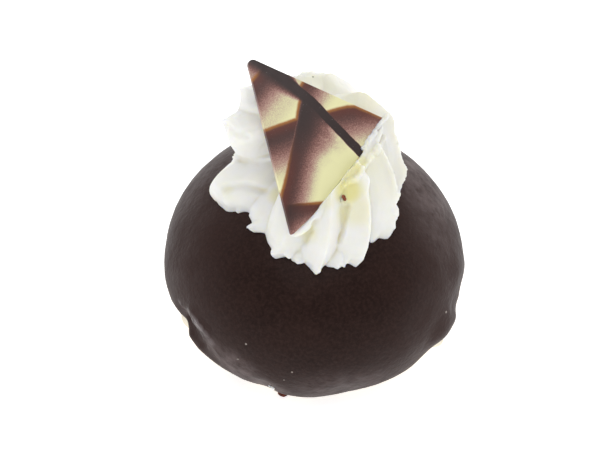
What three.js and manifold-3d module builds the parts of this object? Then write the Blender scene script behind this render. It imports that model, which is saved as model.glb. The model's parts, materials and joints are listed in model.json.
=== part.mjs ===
// A chocolate-coated cream puff: a baked choux bun, a dark chocolate coat that runs down it to an
// uneven hem, a piped star of whipped cream on the crown and a thin chocolate triangle set in the cream.
// Millimetres, +Z up. The origin is the centre of the bun's flat base, and -Y is the side that the
// triangle faces. Bearings are degrees about +Z from +X.

import * as THREE from 'three';
import { mergeVertices } from 'three/addons/utils/BufferGeometryUtils.js';
import loadManifold from 'manifold-3d';

const wasm = await loadManifold();
wasm.setup();

const radians = THREE.MathUtils.degToRad;
const lerp = THREE.MathUtils.lerp;

// Driving dimensions
const PUFF_WIDTH = 84; // across the coat at its waist
const WAIST_HEIGHT = 20; // floor to the widest level
const CROWN_RISE = 31; // waist to the coat's top
const BELLY_DROP = 32; // vertical half-axis of the curve under the waist
const COAT_THICKNESS = 2;
const BUN_GAP = 0.7; // clearance between the bun and the coat over it
const STAR_GAP = 0.45; // clearance between the cream and the coat under it
const TRIANGLE_GAP = 0.3; // clearance between the triangle and the cream round it

// Soft swellings and hollows of the coated bun: bearing, latitude, height and spread in degrees
const SWELLINGS = [
  [-23, -16, 2.0, 10],
  [-8, -7, -1.0, 7],
  [-159, -19, -1.3, 7],
  [-174, -8, 0.5, 10],
  [-142, -20, 0.9, 10],
  [-50, -24, 1.0, 14],
  [-92, -30, 0.7, 20],
  [40, 12, -0.6, 26],
  [118, 4, 0.8, 24],
  [80, -14, -0.8, 18],
];

// The coat's hem: bearing and height above the floor, in order round the bun
const HEM = [
  [-178, 9.5],
  [-158, 14.5],
  [-146, 5.5],
  [-128, 1.6],
  [-106, 4.2],
  [-84, 1.6],
  [-54, 3.2],
  [-34, 10.5],
  [-20, 5.0],
  [2, 10.5],
  [24, 6.5],
  [48, 12.5],
  [70, 8.0],
  [92, 13.0],
  [116, 7.0],
  [138, 12.0],
  [160, 6.5],
];

// Pastry that bulges out where the coat stops short: bearing, latitude, height and spread in degrees
const BARE_BULGES = [
  [-158, -23, 2.6, 9],
  [-34, -27, 2.0, 8],
  [-106, -42, 3.6, 5.5],
];

const BARE_START = 1.4; // distance under the hem at which they begin
const BARE_FULL = 4.2; // and at which they are whole

// The folds of the piped star, in order round it: bearing and reach of the foot, width, flank fullness
// (below 1 the flank slopes, above 1 it stands), height of the end, twist, and lean of the crest
const FOLDS = [
  [178, 25.4, 16, 1.1, 60, 0, 0],
  [-170, 22.4, 11, 1.1, 58, 2, 0],
  [-137, 19.6, 13, 0.8, 58, 8, 10],
  [-107, 23.8, 14, 0.75, 70, 16, -12],
  [-97, 23.4, 9, 1.0, 52, 6, 0],
  [-85, 27.0, 13, 0.7, 72, 22, -2],
  [-74, 25.8, 9, 1.0, 52, 10, 0],
  [-64, 28.0, 13, 0.7, 74, 36, 4],
  [-39, 26.6, 12, 0.85, 74, 45, 8],
  [-9, 24.6, 12, 1.5, 74, 50, 4],
  [19, 26.0, 13, 1.5, 73, 60, 4],
  [42, 25.6, 13, 1.8, 75, 60, 4],
  [68, 26.0, 14, 1.8, 76, 60, 4],
  [92, 24.8, 16, 2.2, 76, 60, 4],
  [117, 24.4, 16, 2.2, 73, 60, 4],
  [142, 22.6, 12, 1.2, 62, 40, 0],
];
const FOLD_ROOT = 8; // distance from the star's middle at which a fold begins
const CREST_PULL = 0.07; // share of its reach by which a fold's crest is drawn out
const FOOT_TUCK = 0.08; // share by which a fold's foot curls under
const TUCK_LEVEL = 0.06; // share of the height in which it does
const CROWN_FULLNESS = 0.9; // below 1 the crown is rounder
const STAR_FOOT = new THREE.Vector2(-2, 0.5); // middle of the star on the coat
const STAR_TOP = new THREE.Vector2(-1.2, 4.8); // the point that the folds are drawn to
const FOOT_DEPTH = 4; // how far the folds go on below the coat's face before they are cut to it

// The star's solid middle
const CORE_FOOT = new THREE.Vector2(2, 3);
const CORE_REACH = 10;
const CORE_HEIGHT = 72;
const CORE_FULLNESS = 1.2;

// The chocolate triangle: its corners on the side that shows, and its thickness
const CORNER_TOP = new THREE.Vector3(-16.9, 12.9, 85.6);
const CORNER_SIDE = new THREE.Vector3(18.4, 7.9, 70.0);
const CORNER_FOOT = new THREE.Vector3(-6.3, -23.4, 59.1);
const TRIANGLE_THICKNESS = 1.8;
const CORNER_CUT = 0.9; // length taken up by each rounded corner
const EDGE_ROUND = 0.25;
const BURIED_EDGE = 1; // how far its lower edge goes on under the cream
const CREAM_CLEAR = 1; // cream kept away from the triangle's free edges
const CREAM_REACH = 20; // how far out of the triangle's face cream is cleared

// The roll of cream along the buried edge, placed in the triangle's frame
const COLLAR_PLACE = new THREE.Vector3(20, -1.5, -3);
const COLLAR_LENGTH = 40;
const COLLAR_WIDTH = 8;

// Fineness of the surfaces
const BUN_COLUMNS = 72;
const BUN_CROWN_RINGS = 6;
const BUN_BELLY_RINGS = 11;
const COAT_COLUMNS = 72;
const COAT_OUTER_RINGS = 16;
const COAT_INNER_RINGS = 16;
const COAT_LIP_RINGS = 3;
const FOLD_COLUMNS = 16;
const FOLD_LEVELS = 10;
const COLLAR_COLUMNS = 16;
const COLLAR_RINGS = 10;
const BED_COLUMNS = 60;
const BED_RINGS = 9;
const BED_LATITUDE = 30; // the bed that the star is cut to ends here, well outside the star

/** Height that a list of soft spots adds at a place on the dome, both angles in degrees. */
function swelling(spots, bearing, latitude) {
  return spots.reduce((sum, [spotBearing, spotLatitude, height, spread]) => {
    const turn = THREE.MathUtils.euclideanModulo(bearing - spotBearing + 180, 360) - 180;
    const across = turn * Math.cos(radians(latitude));
    const away = Math.hypot(across, latitude - spotLatitude) / spread;
    return sum + height * Math.exp(-away * away);
  }, 0);
}

/** Point of the dome at a bearing and latitude from the waist, inset inside the coat's outer face. */
function domePoint(bearing, latitude, inset) {
  const out = swelling(SWELLINGS, bearing, latitude) - inset;
  const rise = latitude > 0 ? CROWN_RISE : BELLY_DROP;
  const across = (PUFF_WIDTH / 2 + out) * Math.cos(radians(latitude));
  return new THREE.Vector3(
    across * Math.cos(radians(bearing)),
    across * Math.sin(radians(bearing)),
    WAIST_HEIGHT + (rise + out) * Math.sin(radians(latitude)),
  );
}

/** Latitude at which the curve under the waist has come down to a height. */
function latitudeAt(height, inset) {
  return THREE.MathUtils.radToDeg(Math.asin((height - WAIST_HEIGHT) / (BELLY_DROP - inset)));
}

/** Height of the coat's hem at a bearing, eased between its listed places. */
function hemHeight(bearing) {
  const turned = THREE.MathUtils.euclideanModulo(bearing - HEM[0][0], 360) + HEM[0][0];
  const places = [...HEM, [HEM[0][0] + 360, HEM[0][1]]];
  const next = places.findIndex(([place]) => place > turned);
  const [fromBearing, fromHeight] = places[next - 1];
  const [toBearing, toHeight] = places[next];
  return lerp(fromHeight, toHeight, THREE.MathUtils.smoothstep(turned, fromBearing, toBearing));
}

/** Closed surface through rings of equal count, with a pole at each end; rings run anticlockwise. */
function ringSolid(firstPole, rings, lastPole) {
  const count = rings[0].length;
  const points = [firstPole, ...rings.flat(), lastPole];
  const last = points.length - 1;
  const faces = [];
  for (let j = 0; j < count; j += 1) {
    const k = (j + 1) % count;
    faces.push(0, 1 + j, 1 + k);
    for (let i = 0; i + 1 < rings.length; i += 1) {
      const upper = 1 + i * count;
      const lower = upper + count;
      faces.push(upper + j, lower + j, lower + k, upper + j, lower + k, upper + k);
    }
    const base = 1 + (rings.length - 1) * count;
    faces.push(last, base + k, base + j);
  }
  const geometry = new THREE.BufferGeometry().setFromPoints(points);
  geometry.setIndex(faces);
  geometry.computeVertexNormals();
  return geometry;
}

/** Even steps from 1 / count up to 1. */
const shares = (count) => Array.from({ length: count }, (_, i) => (i + 1) / count);

/** Evenly spaced bearings for a ring. */
const bearingsOf = (count) => shares(count).map((share) => share * 360 - 180);

/** The baked bun, flat underneath. */
function bunGeometry() {
  const columns = bearingsOf(BUN_COLUMNS);
  const inset = COAT_THICKNESS + BUN_GAP;
  const baseLatitude = latitudeAt(0, inset);
  const latitudes = [
    ...shares(BUN_CROWN_RINGS).map((share) => lerp(90, 0, share)),
    ...shares(BUN_BELLY_RINGS).map((share) => lerp(0, baseLatitude, share)),
  ];
  const rings = latitudes.map((latitude) => columns.map((bearing) => {
    const underHem = hemHeight(bearing) - domePoint(bearing, latitude, inset).z;
    const bare = THREE.MathUtils.smoothstep(underHem, BARE_START, BARE_FULL);
    return domePoint(bearing, latitude, inset - bare * swelling(BARE_BULGES, bearing, latitude));
  }));
  rings.at(-1).forEach((point) => point.setZ(0));
  return ringSolid(domePoint(0, 90, inset), rings, new THREE.Vector3());
}

/** The chocolate coat: outer face down to the hem, a round lip, and the inner face back up. */
function coatGeometry() {
  const columns = bearingsOf(COAT_COLUMNS);
  const hems = columns.map((bearing) => latitudeAt(hemHeight(bearing), 0));
  const faceRing = (share, inset) => columns.map((bearing, j) =>
    domePoint(bearing, lerp(90, hems[j], share), inset));
  const outer = shares(COAT_OUTER_RINGS).map((share) => faceRing(share, 0));
  const inner = shares(COAT_INNER_RINGS).reverse().map((share) => faceRing(share, COAT_THICKNESS));
  const lip = shares(COAT_LIP_RINGS + 1).slice(0, -1).map((share) => {
    const turn = Math.PI * share;
    return columns.map((bearing, j) => {
      const from = outer.at(-1)[j];
      const to = inner[0][j];
      const down = domePoint(bearing, hems[j] - 1, 0).sub(from).normalize();
      return from.clone().lerp(to, (1 - Math.cos(turn)) / 2)
        .addScaledVector(down, (Math.sin(turn) * COAT_THICKNESS) / 2);
    });
  });
  return ringSolid(domePoint(0, 90, 0), [...outer, ...lip, ...inner], domePoint(0, 90, COAT_THICKNESS));
}

/** Height of the coat's outer face over a point of the plan. */
function coatHeight(x, y) {
  const bearing = THREE.MathUtils.radToDeg(Math.atan2(y, x));
  const latitude = THREE.MathUtils.radToDeg(Math.acos(Math.min(1, Math.hypot(x, y) / (PUFF_WIDTH / 2))));
  const out = swelling(SWELLINGS, bearing, latitude);
  return WAIST_HEIGHT + (CROWN_RISE + Math.max(0, out)) * Math.sin(radians(latitude));
}

/** Solid drawn up from a flat slice to an end over the star's top, narrowing and turning. */
function drawUp(slice, foot, fullness, end, twist) {
  const footRing = slice.map(({ x, y }) => new THREE.Vector3(x, y, foot));
  const levels = shares(FOLD_LEVELS).slice(0, -1).reverse();
  const rings = levels.map((level) => {
    const narrow = Math.cos((Math.PI / 2) * level ** fullness);
    const tuck = (1 - FOOT_TUCK * Math.exp(-level / TUCK_LEVEL)) / (1 - FOOT_TUCK);
    const rise = Math.sin((Math.PI / 2) * level) ** CROWN_FULLNESS;
    const axis = STAR_FOOT.clone().lerp(STAR_TOP, THREE.MathUtils.smoothstep(level, 0, 1));
    return slice.map((point) => {
      const out = point.clone().sub(STAR_FOOT).multiplyScalar(narrow * tuck);
      const place = out.rotateAround(new THREE.Vector2(), radians(twist * rise)).add(axis);
      return new THREE.Vector3(place.x, place.y, lerp(foot, end, rise));
    });
  });
  const sunk = footRing.map((point) => point.clone().setZ(foot - FOOT_DEPTH));
  const middle = sunk.reduce((sum, point) => sum.add(point), new THREE.Vector3()).divideScalar(sunk.length);
  return ringSolid(new THREE.Vector3(STAR_TOP.x, STAR_TOP.y, end), [...rings, footRing, sunk], middle);
}

/** One fold of the star: a narrow slice from the root to a drawn-out crest, drawn up. */
function foldGeometry([bearing, reach, width, fullness, end, twist, lean]) {
  const length = reach - FOLD_ROOT;
  const middle = new THREE.Vector2((reach + FOLD_ROOT) / 2, 0);
  const tip = new THREE.Vector2(reach, 0);
  const slice = bearingsOf(FOLD_COLUMNS).map((turn) => {
    const across = new THREE.Vector2(Math.cos(radians(turn)) * length, Math.sin(radians(turn)) * width);
    const point = across.divideScalar(2).add(middle);
    const near = Math.max(0, 1 - point.distanceTo(tip) / (width / 2));
    point.x += reach * CREST_PULL * near * near;
    return point
      .rotateAround(middle, radians(lean))
      .rotateAround(new THREE.Vector2(), radians(bearing))
      .multiplyScalar(1 - FOOT_TUCK)
      .add(STAR_FOOT);
  });
  const crest = tip.rotateAround(new THREE.Vector2(), radians(bearing)).add(STAR_FOOT);
  return drawUp(slice, coatHeight(crest.x, crest.y), fullness, end, twist);
}

/** The star's solid middle. */
function coreGeometry() {
  const slice = bearingsOf(FOLD_COLUMNS).map((turn) =>
    new THREE.Vector2(CORE_REACH, 0).rotateAround(new THREE.Vector2(), radians(turn)).add(CORE_FOOT));
  const foot = coatHeight(CORE_FOOT.x + CORE_REACH, CORE_FOOT.y);
  return drawUp(slice, foot, CORE_FULLNESS, CORE_HEIGHT, 0);
}

/** The roll of cream that the triangle pushed up along its buried edge. */
function collarGeometry() {
  return new THREE.SphereGeometry(0.5, COLLAR_COLUMNS, COLLAR_RINGS)
    .rotateZ(Math.PI / 2)
    .scale(COLLAR_LENGTH, COLLAR_WIDTH, COLLAR_WIDTH)
    .translate(...COLLAR_PLACE)
    .applyMatrix4(triangleFrame());
}

/** The room that the coat takes up under the star, with the clearance over it. */
function bedGeometry() {
  const columns = bearingsOf(BED_COLUMNS);
  const rings = shares(BED_RINGS).map((share) =>
    columns.map((bearing) => domePoint(bearing, lerp(90, BED_LATITUDE, share), -STAR_GAP)));
  return ringSolid(domePoint(0, 90, -STAR_GAP), rings, new THREE.Vector3(0, 0, WAIST_HEIGHT));
}

/** The triangle's own frame: origin at its foot corner, X along the buried edge, Z out of its face. */
function triangleFrame() {
  const along = CORNER_SIDE.clone().sub(CORNER_FOOT).normalize();
  const toTop = CORNER_TOP.clone().sub(CORNER_FOOT);
  const out = along.clone().cross(toTop).normalize();
  return new THREE.Matrix4().makeBasis(along, out.clone().cross(along), out).setPosition(CORNER_FOOT);
}

/** Corners of the triangle in its own frame, each edge moved out by a distance: buried, top and free. */
function triangleCorners(buried, top, free) {
  const intoFrame = triangleFrame().invert();
  const [foot, side, peak] = [CORNER_FOOT, CORNER_SIDE, CORNER_TOP]
    .map((corner) => new THREE.Vector2().copy(corner.clone().applyMatrix4(intoFrame)));
  const edges = [[foot, side, buried], [side, peak, top], [peak, foot, free]].map(([from, to, by]) => {
    const direction = to.clone().sub(from).normalize();
    const outward = new THREE.Vector2(direction.y, -direction.x);
    return { from: from.clone().addScaledVector(outward, by), direction };
  });
  return edges.map((edge, i) => {
    const before = edges[(i + 2) % 3];
    const step = edge.from.clone().sub(before.from).cross(edge.direction)
      / before.direction.cross(edge.direction);
    return before.from.clone().addScaledVector(before.direction, step);
  });
}

/** The thin chocolate triangle in its own frame, its face at Z 0 and its corners rounded. */
function triangleGeometry() {
  const corners = triangleCorners(BURIED_EDGE, 0, 0);
  const outline = new THREE.Shape();
  corners.forEach((corner, i) => {
    const [before, after] = [corners[(i + 2) % 3], corners[(i + 1) % 3]].map((other) =>
      other.clone().sub(corner).setLength(CORNER_CUT).add(corner));
    if (i === 0) {
      outline.moveTo(before.x, before.y);
    } else {
      outline.lineTo(before.x, before.y);
    }
    outline.quadraticCurveTo(corner.x, corner.y, after.x, after.y);
  });
  outline.closePath();
  return new THREE.ExtrudeGeometry(outline, {
    depth: TRIANGLE_THICKNESS - 2 * EDGE_ROUND,
    curveSegments: 4,
    bevelSize: EDGE_ROUND,
    bevelThickness: EDGE_ROUND,
    bevelOffset: -EDGE_ROUND,
    bevelSegments: 2,
  }).translate(0, 0, EDGE_ROUND - TRIANGLE_THICKNESS);
}

/** Solid for cutting and joining, from a closed geometry. */
function toSolid(geometry) {
  const bare = geometry.clone();
  bare.deleteAttribute('normal');
  bare.deleteAttribute('uv');
  const merged = mergeVertices(bare, 1e-4);
  return new wasm.Manifold(new wasm.Mesh({
    numProp: 3,
    vertProperties: new Float32Array(merged.attributes.position.array),
    triVerts: new Uint32Array(merged.index.array),
  }));
}

/** Geometry of a solid after cutting. */
function toGeometry(solid) {
  const mesh = solid.getMesh();
  const geometry = new THREE.BufferGeometry();
  geometry.setAttribute('position', new THREE.BufferAttribute(new Float32Array(mesh.vertProperties), 3));
  geometry.setIndex(new THREE.BufferAttribute(new Uint32Array(mesh.triVerts), 1));
  geometry.computeVertexNormals();
  return geometry;
}

/** The star, bedded on the coat, with a slot for the triangle and clear in front of it. */
function creamGeometry() {
  const frame = triangleFrame();
  const prism = (corners, low, high) => new THREE.ExtrudeGeometry(
    new THREE.Shape(corners),
    { depth: high - low, bevelEnabled: false },
  ).translate(0, 0, low).applyMatrix4(frame);
  const slot = prism(
    triangleCorners(BURIED_EDGE + TRIANGLE_GAP, TRIANGLE_GAP, TRIANGLE_GAP),
    -TRIANGLE_THICKNESS - TRIANGLE_GAP,
    TRIANGLE_GAP,
  );
  const front = prism(triangleCorners(0, CREAM_CLEAR, CREAM_CLEAR), 0, CREAM_REACH);
  const star = [coreGeometry(), collarGeometry(), ...FOLDS.map(foldGeometry)]
    .map(toSolid)
    .reduce((sum, solid) => sum.add(solid));
  const cream = [bedGeometry(), slot, front]
    .map(toSolid)
    .reduce((rest, solid) => rest.subtract(solid), star);
  const bodies = cream.decompose().sort((a, b) => b.volume() - a.volume());
  return toGeometry(bodies[0]);
}

/** Named mesh with its own finish. */
function piece(name, geometry, color, roughness) {
  const mesh = new THREE.Mesh(geometry, new THREE.MeshStandardMaterial({ color, roughness, metalness: 0 }));
  mesh.name = name;
  return mesh;
}

const puff = new THREE.Group();
puff.add(
  piece('choux_bun', bunGeometry(), 0xd8ad68, 0.8),
  piece('chocolate_coat', coatGeometry(), 0x2a201d, 0.4),
  piece('cream_star', creamGeometry(), 0xf3f0e4, 0.5),
);
const triangle = piece('chocolate_triangle', triangleGeometry(), 0xe2dba4, 0.35);
triangle.applyMatrix4(triangleFrame());
puff.add(triangle);

export default puff;
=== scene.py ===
"""Looks of a chocolate-coated cream puff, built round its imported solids.

Metres, +Z up, with the origin in the middle of the bun's base; -Y is the side that the triangle faces.
Sizes are written in millimetres and turned into metres by MM. Bearings are degrees about +Z from +X.
"""

import json
import math
import random

import bmesh
import bpy
import numpy as np
from mathutils import Euler, Matrix, Vector

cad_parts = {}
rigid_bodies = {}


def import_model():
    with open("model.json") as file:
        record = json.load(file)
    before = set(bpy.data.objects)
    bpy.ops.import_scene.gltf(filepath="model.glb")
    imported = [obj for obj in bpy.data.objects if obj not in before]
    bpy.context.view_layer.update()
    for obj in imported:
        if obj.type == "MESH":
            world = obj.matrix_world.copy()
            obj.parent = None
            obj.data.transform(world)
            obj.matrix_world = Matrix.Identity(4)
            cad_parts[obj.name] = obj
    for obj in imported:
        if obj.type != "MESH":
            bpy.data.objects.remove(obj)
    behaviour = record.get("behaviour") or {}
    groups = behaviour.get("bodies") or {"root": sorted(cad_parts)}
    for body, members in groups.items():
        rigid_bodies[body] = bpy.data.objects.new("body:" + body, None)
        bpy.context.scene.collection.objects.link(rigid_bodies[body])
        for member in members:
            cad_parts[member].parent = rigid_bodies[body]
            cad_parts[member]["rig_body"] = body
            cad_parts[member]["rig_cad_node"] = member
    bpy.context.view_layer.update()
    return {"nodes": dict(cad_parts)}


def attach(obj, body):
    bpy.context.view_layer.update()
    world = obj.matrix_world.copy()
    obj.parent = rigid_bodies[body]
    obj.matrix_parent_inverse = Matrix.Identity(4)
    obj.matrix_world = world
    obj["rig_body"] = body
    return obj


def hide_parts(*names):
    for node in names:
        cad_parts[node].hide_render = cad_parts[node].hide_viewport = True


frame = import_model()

MM = 0.001
MERGE_DISTANCE = 0.001 * MM
QUAD_ANGLE = math.radians(60)  # between two triangles of a solid that become one face
SKIN_LEVELS = 2  # how often the skins of the bun and the coat are divided
RELIEF_DETAIL = 2  # how many finer clouds a relief has within its own
SPOT_CORE = 0.3  # share of a coloured spot's reach in which it has its full strength

# The camera, as it stood for the photo
IMAGE_WIDTH = 600
IMAGE_HEIGHT = 450
CAMERA_AIM = Vector((-3.9, 6.73, 25.65)) * MM
CAMERA_RISE = 50
CAMERA_DISTANCE = 560 * MM
CAMERA_FOCAL = 1994  # pixels of the photo
SENSOR_WIDTH = 36
CAMERA_TURN = Euler((math.radians(90 - CAMERA_RISE), 0, 0))
CAMERA_PLACE = CAMERA_AIM + CAMERA_TURN.to_matrix() @ Vector((0, 0, CAMERA_DISTANCE))

# The studio
FLOOR_SIZE = 4
FLOOR_GLOW = 0.72
SURROUND_LEVELS = (0.05, 0.6)  # from level, 0, to straight up, 1: where the surround starts and ends dimming
SURROUND_STRENGTHS = (1.25, 0.42)
LAMPS = [  # name, place, size and strength
    ("overhead_lamp", (0.0, 0.0, 0.75), 0.7, 2.6),
    ("side_lamp", (0.5, 0.4, 0.16), 0.5, 0.6),
]

# Where the coat is pressed in (below 0) or bulges, as seen in the photo: pixel, height and reach in mm
COAT_DENTS = [
    (185, 319, -1.0, 4),
    (189, 328, -1.3, 4.5),
    (195, 337, -1.0, 4.5),
    (205, 348, -0.6, 4.5),
    (193, 313, 0.5, 3),
    (199, 322, 0.6, 3),
    (206, 332, 0.5, 3),
]
# Drags that settle the coat's outline, by pixels of the photo: from, to, reach in mm, and how far each
# goes on behind the outline in mm
COAT_DRAGS = [
    ((180, 308), (182, 307.5), 4, 8),
    ((184, 316), (189, 314.5), 4, 12),
    ((187, 323), (191, 321.5), 4, 12),
    ((264, 386), (264, 382.5), 6, 6),
    ((344, 392), (344, 389), 12, 0),
    ((457, 270), (460, 270), 7, 8),
    ((453, 306), (450, 306), 4, 12),
    ((447, 324), (452, 325), 10, 0),
    ((441, 334), (444, 336), 7, 0),
]
COAT_RELIEF = [(16 * MM, 0.5 * MM), (3 * MM, 0.12 * MM)]  # grain and height of its unevenness
# The middle of the coat's painted shade, near black there and browner round it out to a reach, and where
# painted highlights lie at its rims: pixel, reach in mm and strength
PAINTED_SHADE_MIDDLE = (318, 296)
PAINTED_SHADE_REACH = (16 * MM, 44 * MM)
PAINTED_RIM_HIGHLIGHTS = [
    (412, 168, 18, 0.42),
    (429, 188, 17, 0.38),
    (200, 180, 14, 0.12),
    (224, 163, 14, 0.2),
    (268, 385, 9, 0.4),
    (236, 367, 9, 0.4),
    (216, 352, 7, 0.25),
    (330, 388, 12, 0.2),
    (360, 383, 10, 0.2),
    (440, 230, 12, 0.15),
]
STREAK = [  # the glossy ridge on its left, smoother and with a painted highlight along it, in the same way
    (181, 305, 2.4, 0.3),
    (185, 310, 2.4, 0.6),
    (189, 314.5, 2.4, 0.9),
    (192.5, 319, 2.4, 1.0),
    (196, 323.5, 2.4, 0.9),
    (200, 328.5, 2.2, 0.7),
    (205, 334, 2.0, 0.5),
    (211, 342, 2.0, 0.3),
]
STREAK_GLOSS = 0.75  # share by which the coat is smoother there
STREAK_PAINTED_HIGHLIGHT = 0.3
# The bun, and the pixels just outside the coat where it shows
PASTRY_SHOWS = [(182.5, 315), (184, 320), (186, 326), (441.5, 345)]
PASTRY_REACH = 6 * MM
BUN_DENTS = [(195, 321, -1.2, 7)]  # where the coat's ridge presses it in
PAINTED_LIGHT_ON_CRUST = [(184.5, 319, 6, 0.85), (437, 341, 6, 0.85)]  # painted light, paling the crust where it shows: pixel, reach in mm and strength
CRUST_RELIEF = (5 * MM, 0.5 * MM)  # grain and height
BASE_LEVEL = 0.5 * MM  # below this the bun lies flat on what it stands on

# The folds of the piped star, in order round it: bearing and reach of the foot, width, flank fullness
# (below 1 the flank slopes, above 1 it stands), height of the end, twist, lean of the crest,
# and the crest's breadth, from 0 where it is drawn to an edge to 1 where it is round. In mm and degrees
FOLDS = [
    (178, 25.4, 16, 1.1, 60, 0, 0, 0.8),
    (-170, 22.4, 11, 1.1, 58, 2, 0, 1),
    (-137, 19.6, 13, 0.8, 58, 8, 10, 0.8),
    (-107, 23.6, 15, 0.75, 70, 16, -12, 0.9),
    (-97, 23.8, 10, 1.0, 52, 6, 0, 1),
    (-85, 26.4, 13, 0.7, 72, 22, -2, 0.8),
    (-74, 26.0, 11, 1.0, 52, 10, 0, 1),
    (-64, 27.8, 13, 0.7, 74, 36, 4, 0.5),
    (-39, 26.6, 12, 0.85, 74, 45, 8, 0.1),
    (-9, 24.6, 12, 1.5, 74, 50, 4, 0.1),
    (19, 26.0, 13, 1.5, 73, 60, 4, 0.1),
    (42, 25.6, 13, 1.8, 75, 60, 4, 0.1),
    (68, 26.0, 14, 1.8, 76, 60, 4, 0.1),
    (92, 24.8, 16, 2.2, 76, 60, 4, 0.3),
    (117, 24.4, 16, 2.2, 73, 60, 4, 0.3),
    (142, 22.6, 12, 1.2, 62, 40, 0, 0.5),
]
STAR_MIDDLE = Vector((-2, 0.5, 0)) * MM
STAR_TOP = Vector((-1.2, 4.8, 76)) * MM
CORE_REACH = 10 * MM
CORE_MIDDLE = Vector((2, 3, 0)) * MM
CORE_FULLNESS = 1.2
CORE_END = 72
FOLD_ROOT = 8  # distance from the star's middle, in mm, at which a fold's slice begins
FOOT_TUCK = 0.08  # share by which a fold's foot curls under
TUCK_LEVEL = 0.06  # share of the height in which it does
CROWN_FULLNESS = 0.9
FOLD_COLUMNS = 28
FOLD_LEVELS = 16
CREST_PULL = 0.07  # share of its reach by which a fold's crest is drawn out
STAR_SINK = 0.6 * MM  # how far the cream has settled into the coat
STREAK_DEPTH = 0.25 * MM  # unevenness of a fold all the way up
RAGGED_DEPTH = 0.6 * MM  # unevenness of its foot
RAGGED_HEIGHT = 2.5 * MM
CREAM_GRAIN = 0.4 * MM
CREAM_RELIEF = (2.5 * MM, 0.1 * MM)  # grain and height
SETTLE_ROUNDS = 2  # how often the cream is evened once it is one piece
GROOVE_ROUNDS = 120  # how widely the cream is evened to find its grooves
GROOVE_DEPTH = 0.8 * MM

# The chocolate triangle: corners of the side that shows
CORNER_TOP = Vector((-17.85, 13.34, 86.21)) * MM
CORNER_SIDE = Vector((17.68, 6.99, 69.68)) * MM
CORNER_FOOT = Vector((-6.3, -23.4, 59.1)) * MM
TRIANGLE_THICKNESS = 1.8 * MM
CORNER_ROUND = 0.9 * MM
CORNER_STEPS = 5
TIP_ROUND = 2.4 * MM  # the top corner is blunter
TIP_STEPS = 4
TIP_PROFILE = 0.4
EDGE_ROUND = 0.25 * MM
EDGE_STEPS = 3
SHARP_ANGLE = math.radians(35)
BURIED_EDGE = 1 * MM  # how far its lower edge goes on under the cream
BURIED_BOW = 1 * MM  # and how much further in the middle
BOW_SHARES = (0.2, 0.8)
BOW_STEPS = 4
TEAR_EDGE = 0.8 * BURIED_EDGE  # how far past the face's lower edge the cream in front of it is cleared
TEAR_STEPS = 24
TEAR_DEPTH = 0.5 * MM  # unevenness of the cream's edge there
TEAR_SEED = 4
CREAM_CLEAR = 1 * MM  # cream kept away from the free edges
CREAM_REACH = 20 * MM  # how far out of the face cream is cleared
SLOT_OVERLAP = 0.1 * MM  # and how far behind it, into the slot
COLLAR_PLACE = Vector((20, -1.5, -3)) * MM  # roll of cream along the buried edge, in the triangle's frame
COLLAR_LENGTH = 40 * MM
COLLAR_WIDTH = 8 * MM
COLLAR_SEGMENTS = 28
COLLAR_RINGS = 20

# Drags that settle the cream's outline, in the same way as the coat's
CREAM_DRAGS = [
    ((238, 212), (238, 208.5), 4, 0),
    ((257, 230), (248.5, 227), 3, 0),
    ((252, 225), (245, 228.5), 1.2, 0),
    ((372, 235), (371, 243), 2.5, 0),
    ((397, 204), (393, 205), 1.5, 0),
    ((397, 196), (401, 192.5), 1.3, 0),
    ((396, 214), (398, 216), 1.2, 0),
    ((395, 222), (393.5, 221.5), 1.2, 0),
    ((385, 235), (385, 238), 2, 0),
    ((363, 180), (368, 180), 4, 0),
    ((400, 172), (405, 172), 5, 0),
    ((276, 255), (271, 254.5), 2.5, 0),
    ((295, 262), (295, 258), 2, 0),
    ((289, 254), (289, 259.5), 2, 0),
    ((317, 270), (315, 274), 2, 0),
    ((318, 270), (319, 274), 1.5, 0),
    ((345, 260), (345, 267), 2, 0),
    ((303, 72), (302.5, 77), 3, 6),
    ((327, 84), (327, 77), 5, 10),
    ((344, 92), (344, 88.5), 6, 6),
    ((362, 101), (362.5, 96), 6, 6),
    ((380, 113), (381, 110), 5, 5),
    ((388, 121), (391, 119), 4, 5),
    ((230, 155), (236, 157), 2.5, 5),
]

# Lines in the cream, by pixels of the photo: torn shreds on the triangle's edge, the lip that was pushed up
# beside it, and creases with their depth and breadth in mm
SHREDS = [(387, 116), (379, 125), (372, 136), (364, 148)]
LIP = [(384, 138), (376, 151), (368, 160), (360, 172), (356, 180), (350, 181), (344, 186)]
CREASES = [
    ([(224, 190), (236, 186), (250, 187), (266, 191)], 0.45, 1.8),
    ([(238, 161), (256, 163), (274, 163)], 0.4, 1.5),
    ([(227, 128), (236, 133), (247, 137)], 0.4, 1.6),
    ([(243, 132), (254, 128)], 0.3, 1.2),
    ([(339, 240), (343, 224), (347, 206)], 0.7, 1.7),
    ([(305, 243), (310, 231), (316, 222)], 0.5, 1.6),
]
CREASE_STEP = 3
SHRED_STEP = 1.3
SHRED_SIZE = (0.4, 0.85)  # smallest and largest, in mm
LUMP_STRETCH = (0.7, 1.3)  # least and most that a lump is stretched each way
LIP_SIZE = (0.45, 1.0)
TEAR_DRAW = random.Random(11)
PAINTED_YELLOW_SPOTS = [  # where painted yellow shade, and yellow light thrown back by the triangle, lie on the cream: pixel, reach in mm and strength
    (348, 191, 5.5, 1.0),
    (361, 162, 3, 0.7),
    (355, 169, 3, 0.8),
    (349, 177, 3, 0.8),
    (356, 210, 6, 0.4),
    (343, 212, 4, 0.45),
    (310, 232, 4, 0.4),
    (277, 195, 3.5, 0.5),
    (228, 191, 3, 0.2),
    (385, 184, 7, 0.15),
    (372, 160, 7, 0.25),
    (325, 200, 4, 0.3),
    (320, 82, 9, 0.35),
    (360, 97, 9, 0.45),
]
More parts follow.
